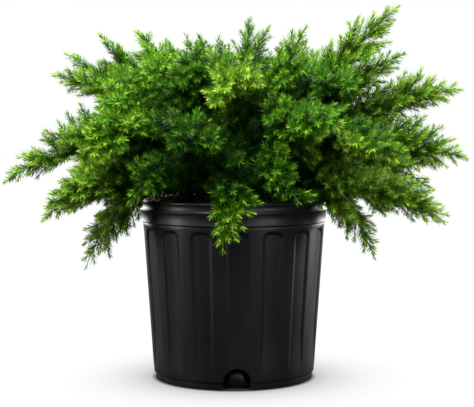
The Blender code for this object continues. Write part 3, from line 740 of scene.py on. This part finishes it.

# Forks, by the number of their plume: where along its limb they leave, the azimuth, reach and height of their
# tips, and how many levels lighter than the plume their needles are, or darker where negative.
FORKS = {
    0: (
        (0.74, 196, 0.176, 0.174), (0.64, 199, 0.169, 0.195), (0.72, 193, 0.153, 0.153),
        (0.64, 190, 0.144, 0.172), (0.56, 188, 0.131, 0.178),
    ),
    1: (
        (0.66, -14, 0.157, 0.187), (0.8, -16, 0.17, 0.171), (0.62, -19, 0.143, 0.176),
        (0.52, -20, 0.134, 0.19),
    ),
    2: (
        (0.6, -98.7, 0.15, 0.233, 0.1), (0.7, -96.7, 0.16, 0.213, 0.1), (0.78, -95.1, 0.165, 0.196, 0.1),
        (0.86, -95, 0.167, 0.182, 0.1), (0.84, -89, 0.167, 0.183, 0.1), (0.76, -86.7, 0.163, 0.195, 0.1),
        (0.66, -82.5, 0.158, 0.211, 0.1), (0.58, -79.1, 0.15, 0.222, 0.1),
    ),
    3: ((0.5, 139, 0.141, 0.213, 0.2),),
    5: (
        (0.46, 184, 0.185, 0.331), (0.53, 179, 0.203, 0.321), (0.6, 183, 0.212, 0.31),
        (0.68, 180, 0.232, 0.297), (0.8, 184, 0.252, 0.271), (0.74, 181, 0.244, 0.2505),
        (0.66, 185, 0.222, 0.255),
    ),
    6: (
        (0.42, 204, 0.206, 0.256), (0.52, 208, 0.223, 0.243), (0.62, 205, 0.229, 0.23),
        (0.72, 209, 0.24, 0.217), (0.7, 207, 0.216, 0.211), (0.6, 203, 0.19, 0.215),
    ),
    7: (
        (0.5, -4, 0.216, 0.317), (0.58, 0, 0.232, 0.318), (0.66, -3, 0.251, 0.305), (0.78, -1, 0.266, 0.29),
        (0.72, -3, 0.257, 0.259), (0.64, 0, 0.245, 0.257), (0.56, -5, 0.222, 0.255),
    ),
    8: (
        (0.52, -19, 0.227, 0.24), (0.62, -24, 0.248, 0.233), (0.72, -21, 0.253, 0.217),
        (0.82, -23, 0.264, 0.206), (0.66, -22, 0.223, 0.199), (0.56, -25, 0.207, 0.208),
        (0.48, -27, 0.195, 0.205),
    ),
    9: ((0.55, -124, 0.2, 0.263, 0.15), (0.6, -120.9, 0.185, 0.236, 0.1)),
    10: ((0.6, -69.9, 0.16, 0.229, 0.1), (0.9, -58.7, 0.17, 0.229, 0.1)),
    11: ((0.45, 70, 0.141, 0.213, 0.2), (0.55, 58, 0.141, 0.213, 0.2)),
    12: (
        (0.4, 104, 0.141, 0.213, 0.2), (0.45, 112, 0.141, 0.213, 0.2), (0.5, 120, 0.141, 0.213, 0.2),
        (0.54, 129, 0.141, 0.213, 0.2),
    ),
    14: (
        (0.62, 6, 0.213, 0.372), (0.7, 2, 0.229, 0.375), (0.78, 5, 0.248, 0.367), (0.7, 3, 0.243, 0.334),
        (0.8, 5, 0.262, 0.339), (0.45, 6, 0.192, 0.357),
    ),
    15: (
        (0.82, 175, 0.205, 0.358), (0.7, 177, 0.189, 0.345), (0.72, 174, 0.205, 0.375),
        (0.42, -132.4, 0.19, 0.333, 0.15),
    ),
    16: ((0.5, -96.1, 0.185, 0.286, 0.15), (0.55, -121.7, 0.19, 0.318, 0.2)),
    17: ((0.6, -56.8, 0.16, 0.329, 0.2), (0.4, -66.7, 0.14, 0.338, 0.15), (0.5, -49, 0.19, 0.329, -0.4)),
    18: (
        (0.55, -50.2, 0.21, 0.288, 0.2), (0.45, -41.8, 0.2, 0.315, -0.3), (0.7, -45.3, 0.22, 0.282, 0.15),
        (0.82, -38.2, 0.23, 0.27, 0.15),
    ),
    19: (
        (0.6, -135.1, 0.2, 0.291, 0.2), (0.7, -137.4, 0.22, 0.26, 0.25), (0.5, -133.3, 0.205, 0.315, -0.1),
        (0.42, -128.6, 0.19, 0.312, 0.4), (0.62, -127.7, 0.205, 0.28, 0.15),
        (0.72, -133, 0.215, 0.269, 0.15),
    ),
    23: (
        (0.5, 16, 0.139, 0.398), (0.56, 14, 0.152, 0.422), (0.66, 12, 0.163, 0.436),
        (0.72, 11, 0.174, 0.441), (0.62, 9, 0.194, 0.411), (0.74, 13, 0.195, 0.425),
        (0.78, 12, 0.197, 0.432),
    ),
    24: (
        (0.75, 165, 0.164, 0.382), (0.3, 166, 0.171, 0.42), (0.42, 163, 0.16, 0.411),
        (0.5, 160, 0.15, 0.403), (0.5, -137.2, 0.16, 0.354, 0.1),
    ),
    25: (
        (0.62, 140, 0.109, 0.411), (0.5, -137.6, 0.13, 0.364, 0.1), (0.55, 150, 0.145, 0.399),
        (0.42, 152, 0.147, 0.381), (0.48, 148, 0.126, 0.391),
    ),
    26: ((0.45, 35, 0.052, 0.428), (0.35, 54, 0.08, 0.394)),
    27: (
        (0.55, -20, 0.074, 0.418), (0.45, -10, 0.058, 0.405), (0.5, -58.3, 0.11, 0.359, 0.3),
        (0.6, -49.8, 0.12, 0.371, 0.1),
    ),
    28: (
        (0.5, -135.6, 0.14, 0.338, 0.2), (0.6, -118, 0.09, 0.401), (0.45, -129, 0.1, 0.39),
        (0.45, -122.8, 0.15, 0.324, -0.5), (0.6, -119.2, 0.12, 0.358, 0.2),
    ),
    29: (
        (0.75, -9, 0.195, 0.376), (0.55, -6, 0.18, 0.36), (0.45, -4, 0.166, 0.346),
        (0.5, -33.9, 0.16, 0.351, -0.1), (0.42, -45.2, 0.14, 0.364, 0.1),
    ),
    31: ((0.6, 30, 0.144, 0.4), (0.5, 12.6, 0.13, 0.359, 0.1)),
    32: (
        (0.55, -106.3, 0.1, 0.391, -0.3), (0.5, -99.1, 0.15, 0.331, 0.4), (0.6, -75.7, 0.13, 0.354, 0.6),
        (0.6, -94, 0.12, 0.352, 0.15), (0.7, -83, 0.09, 0.369, 0.1),
    ),
}

# Gaps between the plumes, where no twig grows. Each is a round hole that runs level and square to its
# azimuth: its azimuth, how far out and how high its middle lies, and its radius.
GAP_HALF_DEPTH = 0.09
GAPS = (
    (176, 0.178, 0.338, 0.012), (190, 0.205, 0.256, 0.01), (150, 0.118, 0.419, 0.007),
    (168, 0.183, 0.396, 0.01), (-18, 0.166, 0.212, 0.011), (-23, 0.214, 0.203, 0.01),
    (150, 0.145, 0.172, 0.014), (45, 0.18, 0.165, 0.014), (1, 0.242, 0.331, 0.007),
    (0, 0.232, 0.247, 0.007), (180, 0.155, 0.393, 0.008), (180, 0.067, 0.405, 0.0075),
    (155, 0.148, 0.418, 0.008), (35, 0.146, 0.416, 0.011),
)


def lengths_of(line):
    return np.concatenate([[0.0], np.cumsum(np.linalg.norm(np.diff(line, axis=0), axis=1))])


def at(line, places):
    """Points and directions on a polyline at distances from its root."""
    passed = lengths_of(line)
    index = np.clip(np.searchsorted(passed, places, side="right") - 1, 0, len(line) - 2)
    share = (places - passed[index]) / (passed[index + 1] - passed[index])
    step = line[index + 1] - line[index]
    return line[index] + step * share[:, None], step / np.linalg.norm(step, axis=1)[:, None]


def unit(vectors):
    return vectors / np.linalg.norm(vectors, axis=-1, keepdims=True)


def offshoot(root, forward, roll, lean, length, dice, points=TWIG_POINTS):
    """A twig that leaves its parent at a lean, and curves back a little towards its way and upwards."""
    side = unit(np.cross(forward, (0.0, 0.0, 1.0)))
    up = np.cross(side, forward)
    lateral = unit(side * math.cos(roll) + up * math.sin(roll))
    direction = forward * math.cos(lean) + lateral * math.sin(lean)
    bend = forward * TWIG_BEND + np.array((0.0, 0.0, TWIG_RISE)) + dice.normal(0, TWIG_SWAY, 3)
    s = np.linspace(0.0, 1.0, points)[:, None]
    return root + (direction * s + bend * s * s / 2) * length


def in_pot(points, above_lip, inside_lip, outside_rim, above_soil):
    """Which points lie in the pot's wall or in its soil, or nearer to them than these distances."""
    height = points[:, 2]
    radius = np.hypot(points[:, 0], points[:, 1])
    beside_wall = (radius > LIP_INNER_RADIUS - inside_lip) & (radius < RIM_RADIUS + outside_rim)
    in_soil = (height < SOIL_TOP_Z + above_soil) & (radius < LIP_INNER_RADIUS)
    return (height < POT_HEIGHT + above_lip) & beside_wall | in_soil


def clear_of_pot(line):
    return not np.any(in_pot(line, 0.002, 0.002, 0.003, 0.004))


def leaves_gaps(line):
    """Whether a twig keeps out of the gaps between the plumes."""
    for azimuth, reach, height, radius in GAPS:
        away = outward(azimuth)
        ahead = line[:, 0] * away.x + line[:, 1] * away.y - reach
        beside = line[:, 0] * away.y - line[:, 1] * away.x
        inside = np.hypot(ahead, line[:, 2] - height) < radius
        if np.any(inside & (np.abs(beside) < GAP_HALF_DEPTH)):
            return False
    return True


def side_twigs(line, kind, bare, dice, points=TWIG_POINTS):
    """(twig, distance from its parent's tip), spirally set from near the tip back to the bare foot."""
    total = lengths_of(line)[-1]
    roll = dice.uniform(0, math.tau)
    behind = kind.first
    while behind < total - bare:
        root, forward = at(line, np.array([total - behind]))
        length = min(kind.least + kind.share * (behind - kind.first), kind.longest) * dice.uniform(0.8, 1.15)
        for attempt in range(TRIES):
            lean = math.radians(kind.lean_deg + dice.uniform(-6, 6))
            twig = offshoot(root[0], forward[0], roll + attempt * TRY_TURN, lean, length, dice, points)
            if clear_of_pot(twig) and leaves_gaps(twig):
                yield twig, behind
                break
        roll += GOLDEN
        behind += kind.step * dice.uniform(0.85, 1.15)


def heart_branches(dice):
    """Branches that leave the trunk itself, all round and up to its tip, and fill the heart of the crown."""
    line = np.array([trunk_axis(TRUNK_FOOT_Z + TRUNK_HEIGHT * share) for share in np.linspace(0.12, 1.0, 12)])
    foot_lean, tip_lean = HEART_LEAN_DEG
    for number in range(HEART_BRANCHES):
        share = (number + 0.5) / HEART_BRANCHES
        root, forward = at(line, np.array([share * lengths_of(line)[-1]]))
        lean = math.radians(foot_lean + share * (tip_lean - foot_lean) + dice.uniform(-8, 8))
        length = HEART_LENGTH * dice.uniform(0.75, 1.1)
        twig = offshoot(root[0], forward[0], number * GOLDEN, lean, length, dice, BRANCH_POINTS)
        if clear_of_pot(twig):
            yield twig


def how_far_out(points):
    """How far out points of the crown are, 0 at its heart and about 1 at its outer surface."""
    upwards = np.maximum(points[:, 2] - HEART_Z, 0.0) / CROWN_RISE
    return np.hypot(np.hypot(points[:, 0], points[:, 1]) / CROWN_RADIUS, upwards)


def needle_level_with_painted_light(points):
    """The level of old needles at points of the crown: duller the further in, partly for age and partly as
    painted shade, with painted shade under the crown, painted light where it hangs free, and painted light
    and shade in patches.
    """
    radius = np.hypot(points[:, 0], points[:, 1])
    # Painted light on what hangs free outside the rim.
    hanging = (points[:, 2] < POT_HEIGHT) & (radius > RIM_RADIUS)
    # Painted shade: how far a needle lies low under the crown and near the trunk.
    painted_shade_below = np.clip((UNDERSIDE_TOP_Z - points[:, 2]) / UNDERSIDE_DEPTH, 0, 1)
    painted_shade_below = painted_shade_below * np.clip((UNDERSIDE_RADIUS - radius) / UNDERSIDE_EDGE, 0, 1)
    out = how_far_out(points) + np.where(hanging, HANGING_PAINTED_LIGHT, -UNDERSIDE_PAINTED_SHADE * painted_shade_below)
    level = np.interp(out, *zip(*LEVELS_OUTWARDS))
    # Painted light and shade in patches on the near side of the crown.
    for x, z, size, by in PAINTED_LIGHT_AND_SHADE_PATCHES:
        near = np.exp(-((points[:, 0] - x) ** 2 + (points[:, 2] - z) ** 2) / size**2)
        changed = np.minimum(level + by * near, np.maximum(level, PAINTED_LIGHT_AND_SHADE_PATCHES_MAX_LEVEL))
        level = np.where(points[:, 1] < PAINTED_LIGHT_AND_SHADE_PATCHES_END_Y, changed, level)
    return level


def clothed(line, bare, base, dice):
    """The branches and twigs along a limb or a fork of it, and all the shoots that carry needles there."""
    bare_point = int(len(line) * bare / lengths_of(line)[-1])
    branches = [twig for twig, _ in side_twigs(line, BRANCHES, bare, dice, BRANCH_POINTS)]
    twigs = [twig for twig, _ in side_twigs(line, SHOOTS, bare, dice)]
    shoots = [Shoot(shoot, base) for shoot in [line[bare_point:]] + twigs]
    for branch in branches:
        own_base = base + dice.normal(0, 0.25)
        own_twigs = [twig for twig, _ in side_twigs(branch, SHOOTS, BRANCH_BARE, dice)]
        twigs += own_twigs
        shoots += [Shoot(shoot, own_base) for shoot in [branch] + own_twigs]
    return branches, twigs, shoots


def fork_line(fork, limb):
    """A limb's fork leaves it along its own way and bends to the fork's tip."""
    root, forward = at(limb, np.array([fork.share * lengths_of(limb)[-1]]))
    tip = np.array(outward(fork.azimuth) * fork.reach + Vector((0.0, 0.0, fork.height)))
    turn = root[0] + forward[0] * np.linalg.norm(tip - root[0]) * FORK_BEND
    t = np.linspace(0.0, 1.0, 20)[:, None]
    return root[0] * (1 - t) ** 2 + turn * 2 * (1 - t) * t + tip * t**2


def grow_plume(number, path, dice):
    """One plume's woody stems, its branches and twigs, and all that carries needles."""
    plume = PLUMES[number]
    inner = TIERS[plume.tier].inner
    limb = along(path, 0.0, 0.995, 60)
    stem = limb[int(inner * len(limb)):]
    if not inner:
        stem = np.vstack([np.array(path[0] - outward(plume.azimuth) * COLLAR), stem])
    base = dice.normal(0, 0.3)
    branches, twigs, shoots = clothed(limb, LEAFY_FROM * lengths_of(limb)[-1], base, dice)
    for fork in (Fork(*row) for row in FORKS.get(number, ())):
        line = fork_line(fork, limb)
        more = clothed(line, FORK_BARE, base + fork.fresher + dice.normal(0, 0.2), dice)
        branches, twigs, shoots = branches + [line] + more[0], twigs + more[1], shoots + more[2]
    return [stem], branches, twigs, shoots


def needles_on(shoot, dice):
    """Roots, directions, lengths, parent's directions and tone numbers of a shoot's needles, in whorls."""
    total = lengths_of(shoot.line)[-1]
    shaded = how_far_out(shoot.line).mean() < INNER_PART
    whorls = max(int(total / (WHORL_STEP * (INNER_THINNING if shaded else 1))), 3)
    places = np.repeat(np.linspace(0.0010, total, whorls), 3)
    count = len(places)
    spin = np.tile(np.arange(3) * math.tau / 3, whorls) + np.repeat(np.arange(whorls) * math.pi / 3, 3)
    spin = spin + dice.uniform(0, math.tau) + dice.normal(0, 0.16, count)
    root, forward = at(shoot.line, np.clip(places + dice.normal(0, 0.0004, count), 0, total))
    side = unit(np.cross(forward, (0.15, 0.1, 1.0)))
    up = np.cross(side, forward)
    radial = side * np.cos(spin)[:, None] + up * np.sin(spin)[:, None]
    behind = total - places
    near_tip = np.clip(1 - behind / TIP_TUFT, 0, 1)
    lean_deg = NEEDLE_LEAN_DEG + (TIP_LEAN_DEG - NEEDLE_LEAN_DEG) * near_tip
    lean = np.radians(lean_deg) + dice.normal(0, 0.12, count)
    direction = forward * np.cos(lean)[:, None] + radial * np.sin(lean)[:, None]
    length = NEEDLE_LENGTH * (1 - 0.10 * near_tip) * dice.uniform(0.80, 1.12, count)
    # New growth's own colour and a painted glow at the shoot's tip.
    tip_youth_and_glow = YOUNG_AND_GLOW_LEVELS * np.clip(1 - behind / YOUNG, 0, 1)
    level = needle_level_with_painted_light(root) + shoot.base + tip_youth_and_glow + dice.normal(0, 0.2)
    tone = np.clip(np.round(level + dice.normal(0, 0.45, count)), 0, len(TONES) - 1).astype(int)
    return root, direction, length, forward, tone


def needle_mesh(name, roots, directions, lengths, forwards):
    """Awl-shaped blades folded along their middle: a root, two shoulders and a point each."""
    across = unit(np.cross(directions, forwards))
    inner_side = unit(np.cross(directions, across))
    middle = roots + directions * (lengths * 0.45)[:, None] + inner_side * NEEDLE_FOLD
    left = middle - across * NEEDLE_HALF_WIDTH
    right = middle + across * NEEDLE_HALF_WIDTH
    tips = roots + directions * lengths[:, None] + inner_side * (lengths * 0.07)[:, None]
    points = np.stack([roots, left, tips, right], 1).reshape(-1, 3)
    blade = np.array([(0, 2, 1), (0, 3, 2)])
    corners = blade[None] + (np.arange(len(roots)) * 4)[:, None, None]
    return mesh_from_arrays(name, points, corners.reshape(-1, 3))


def twig_mesh(name, lines, radii, sides):
    """Tapering twigs along the lines, each a tube from the first radius to the second."""
    points, corners, offset = [], [], 0
    for line in lines:
        count = len(line)
        forward = unit(np.gradient(line, axis=0))
        side = unit(np.cross(forward, (0.15, 0.1, 1.0)))
        up = np.cross(side, forward)
        radius = np.linspace(radii[0], radii[1], count)[:, None, None]
        turn = np.arange(sides) * math.tau / sides
        ring = side[:, None] * np.cos(turn)[None, :, None] + up[:, None] * np.sin(turn)[None, :, None]
        points.append((line[:, None] + ring * radius).reshape(-1, 3))
        first = offset + (np.arange(count - 1) * sides)[:, None]
        here, beside = np.arange(sides), (np.arange(sides) + 1) % sides
        low_left, low_right = first + here, first + beside
        corners.append(np.stack([low_left, low_right, low_right + sides, low_left + sides], 2).reshape(-1, 4))
        offset += count * sides
    return mesh_from_arrays(name, np.vstack(points), np.vstack(corners))


def woody_and_green(lines, radii):
    """Splits stems where their bark turns green: (woody parts, green parts, radius where they meet)."""
    woody, green = [], []
    for line in lines:
        cut = max(2, round(WOODY_SHARE * (len(line) - 1)))
        woody.append(line[:cut + 1])
        green.append(line[cut:])
    return woody, green, radii[0] + (radii[1] - radii[0]) * WOODY_SHARE


def needle_green(name, colour):
    made, tree, surface, place = new_finish(name, 0.55, 0.05)
    darker = tuple(value * 0.70 for value in colour)
    lighter = tuple(value * 1.30 for value in colour)
    mottle = ramp(tree, noise(tree, place, 420.0, Detail=2.0), [(0.38, darker), (0.62, lighter)])
    feed(tree, surface, Base_Color=mottle)
    return made


dice = np.random.default_rng(PLUME_SEED)
grown = {name: {"stems": [], "branches": [], "twigs": [], "shoots": []} for name in TIERS}
for number, (plume, path) in enumerate(zip(PLUMES, paths)):
    for kind, more in zip(grown[plume.tier], grow_plume(number, path, dice)):
        grown[plume.tier][kind] += more
heart = list(heart_branches(dice))
heart_twigs = [twig for branch in heart for twig, _ in side_twigs(branch, SHOOTS, HEART_BARE, dice)]
grown["top"]["branches"] += heart
grown["top"]["twigs"] += heart_twigs
grown["top"]["shoots"] += [Shoot(line, HEART_BASE) for line in heart + heart_twigs]

tone_finishes = [needle_green(f"needle_{tone}", colour) for tone, (colour, _) in TONES.items()]
twig_bark = bark("twig_bark", (0.110, 0.058, 0.026), (0.045, 0.023, 0.011))
green_bark = bark("green_twig", (0.060, 0.095, 0.012), (0.040, 0.060, 0.008))
for tier_name, plants in grown.items():
    masses = sorted(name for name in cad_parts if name.startswith(f"foliage_{tier_name}_"))
    columns = zip(*[needles_on(shoot, dice) for shoot in plants["shoots"]])
    roots, directions, lengths, forwards, tones = (np.concatenate(column) for column in columns)
    free = ~in_pot(roots + directions * lengths[:, None], 0.0003, 0.0, 0.0003, 0.001)
    made = []
    for number, (tone, (_, tone_slot)) in enumerate(TONES.items()):
        own = free & (tones == number)
        if own.any():
            blades = (roots[own], directions[own], lengths[own], forwards[own])
            needles = needle_mesh(f"needles_{tier_name}_{tone}", *blades)
            needles.data.materials.append(tone_finishes[number])
            made.append((needles, tone_slot))
    woody_stems, green_stems, stem_meets = woody_and_green(plants["stems"], STEM_RADII)
    woody_branches, green_branches, branch_meets = woody_and_green(plants["branches"], BRANCH_RADII)
    for name, lines, radii, sides, finish in (
        (f"stems_{tier_name}", woody_stems, (STEM_RADII[0], stem_meets), 7, twig_bark),
        (f"stem_ends_{tier_name}", green_stems, (stem_meets, STEM_RADII[1]), 5, green_bark),
        (f"branches_{tier_name}", woody_branches, (BRANCH_RADII[0], branch_meets), 4, twig_bark),
        (f"branch_ends_{tier_name}", green_branches, (branch_meets, BRANCH_RADII[1]), 3, green_bark),
        (f"twigs_{tier_name}", plants["twigs"], SHOOT_RADII, 3, green_bark),
    ):
        wood = twig_mesh(name, lines, radii, sides)
        wood.data.materials.append(finish)
        made.append((wood, "bark"))
    for piece, slot_name in made:
        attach(piece, "root")
        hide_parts(*masses)


# ==== Studio ====
# A floor that runs out of sight, nearly black itself but glowing pale to the camera, with a painted soft
# shadow under the pot's foot, in a white room with a bright backdrop. A large soft key light hangs at the
# upper left and another over the crown. Three strips edge the pot, and a weak fill lifts the low sprays.

WHITE = (1.0, 1.0, 1.0, 1.0)
FLOOR_HALF = 12.0
FLOOR_DROP = 0.0002  # keeps the floor's face off the pot's

# How bright the floor looks to the camera at each distance from the pot's middle: an even glow, with a
# painted soft shadow under the foot.
FLOOR_GLOW_AND_PAINTED_SHADOW = (
    (0.096, 0.02), (0.1005, 0.56), (0.112, 0.66), (0.123, 0.745), (0.134, 0.785), (0.145, 0.835),
    (0.155, 0.87), (0.176, 0.92), (0.200, 0.945), (0.230, 0.98), (0.300, 1.0),
)
ROOM_FRONT = 0.29  # the room's light in front of the plant
ROOM_BACK = 9.50  # and the backdrop's behind it


def floor_paint():
    made, tree, surface, place = new_finish("studio_floor", 0.6, 0.0)
    grain = noise(tree, place, 3.0, Detail=2.0)
    tone = ramp(tree, grain, [(0.3, (0.010, 0.010, 0.010)), (0.7, (0.012, 0.012, 0.012))])
    far = tree.nodes.new("ShaderNodeVectorMath")
    far.operation = "LENGTH"
    tree.links.new(place, far.inputs[0])
    # Painted shadow: the camera-only glow dims near the pot's foot.
    glow_and_painted_shadow = ramp(tree, far.outputs["Value"], [(radius, (value, value, value)) for radius, value in FLOOR_GLOW_AND_PAINTED_SHADOW])
    seen = tree.nodes.new("ShaderNodeMath")
    seen.operation = "MULTIPLY"
    tree.links.new(glow_and_painted_shadow, seen.inputs[0])
    tree.links.new(tree.nodes.new("ShaderNodeLightPath").outputs["Is Camera Ray"], seen.inputs[1])
    feed(tree, surface, Base_Color=tone, Emission_Color=WHITE, Emission_Strength=seen.outputs["Value"])
    return made


def soft_light(name, place, target, width, height, power):
    data = bpy.data.lights.new(name, "AREA")
    data.shape = "ELLIPSE"
    data.size = width
    data.size_y = height
    data.energy = power
    made = put_in_scene(name, data)
    made.location = place
    made.rotation_mode = "QUATERNION"
    made.rotation_quaternion = (Vector(target) - Vector(place)).to_track_quat("-Z", "Y")


def white_room():
    """A white backdrop behind, and a dimmer room in front. What is seen directly is plain white."""
    made = bpy.data.worlds.new("white_room")
    made.use_nodes = True
    tree = made.node_tree
    place = tree.nodes.new("ShaderNodeTexCoord").outputs["Generated"]
    behind = node(tree, "ShaderNodeSeparateXYZ", Vector=place).outputs["Y"]
    power = node(
        tree, "ShaderNodeMapRange", Value=behind,
        From_Min=0.0, From_Max=0.95, To_Min=ROOM_FRONT, To_Max=ROOM_BACK,
    )
    shade = feed(tree, tree.nodes["Background"], Color=WHITE, Strength=power.outputs["Result"])
    seen = node(tree, "ShaderNodeBackground", Color=WHITE, Strength=1.0)
    sight = tree.nodes.new("ShaderNodeLightPath").outputs["Is Camera Ray"]
    mix = node(tree, "ShaderNodeMixShader", Fac=sight)
    tree.links.new(shade.outputs["Background"], mix.inputs[1])
    tree.links.new(seen.outputs["Background"], mix.inputs[2])
    feed(tree, tree.nodes["World Output"], Surface=mix.outputs["Shader"])
    return made


drop_selection()
bpy.ops.mesh.primitive_plane_add(size=2 * FLOOR_HALF, location=(0, 0, -FLOOR_DROP))
floor = fix_in_place(bpy.context.object)
floor.name = "studio_floor"
floor.data.materials.append(floor_paint())

bpy.context.scene.world = white_room()
crown_middle = (0.0, 0.0, 0.28)
pot_middle = (0.0, 0.0, 0.12)
soft_light("key_light", (-0.8, -1.3, 2.1), crown_middle, 0.8, 0.8, 108.0)
soft_light("top_light", (0.1, 0.3, 2.2), crown_middle, 0.8, 0.8, 80.0)
soft_light("left_strip", (-1.45, -0.50, 0.4), pot_middle, 0.20, 0.9, 9.0)
soft_light("right_strip", (1.5, 0.65, 0.4), pot_middle, 0.20, 0.9, 14.0)
soft_light("front_strip", (0.0, -1.7, 1.3), pot_middle, 2.2, 0.24, 22.0)
soft_light("low_fill", (1.05, -1.35, 0.35), crown_middle, 0.9, 0.7, 6.5)


# ==== Camera ====
# Level with the crown's upper half and tipped down a little, far enough off that the pot's sides look
# nearly upright.

camera_data = bpy.data.cameras.new("camera")
camera_data.sensor_width = 36.0
camera_data.lens = 96.6
camera = put_in_scene("camera", camera_data)
camera.location = (0.0040, -1.5565, 0.3011)
camera.rotation_euler = (math.radians(90 - 3.26), 0.0, 0.0)
bpy.context.scene.camera = camera
bpy.context.scene.view_settings.view_transform = "Standard"

bpy.context.view_layer.update()
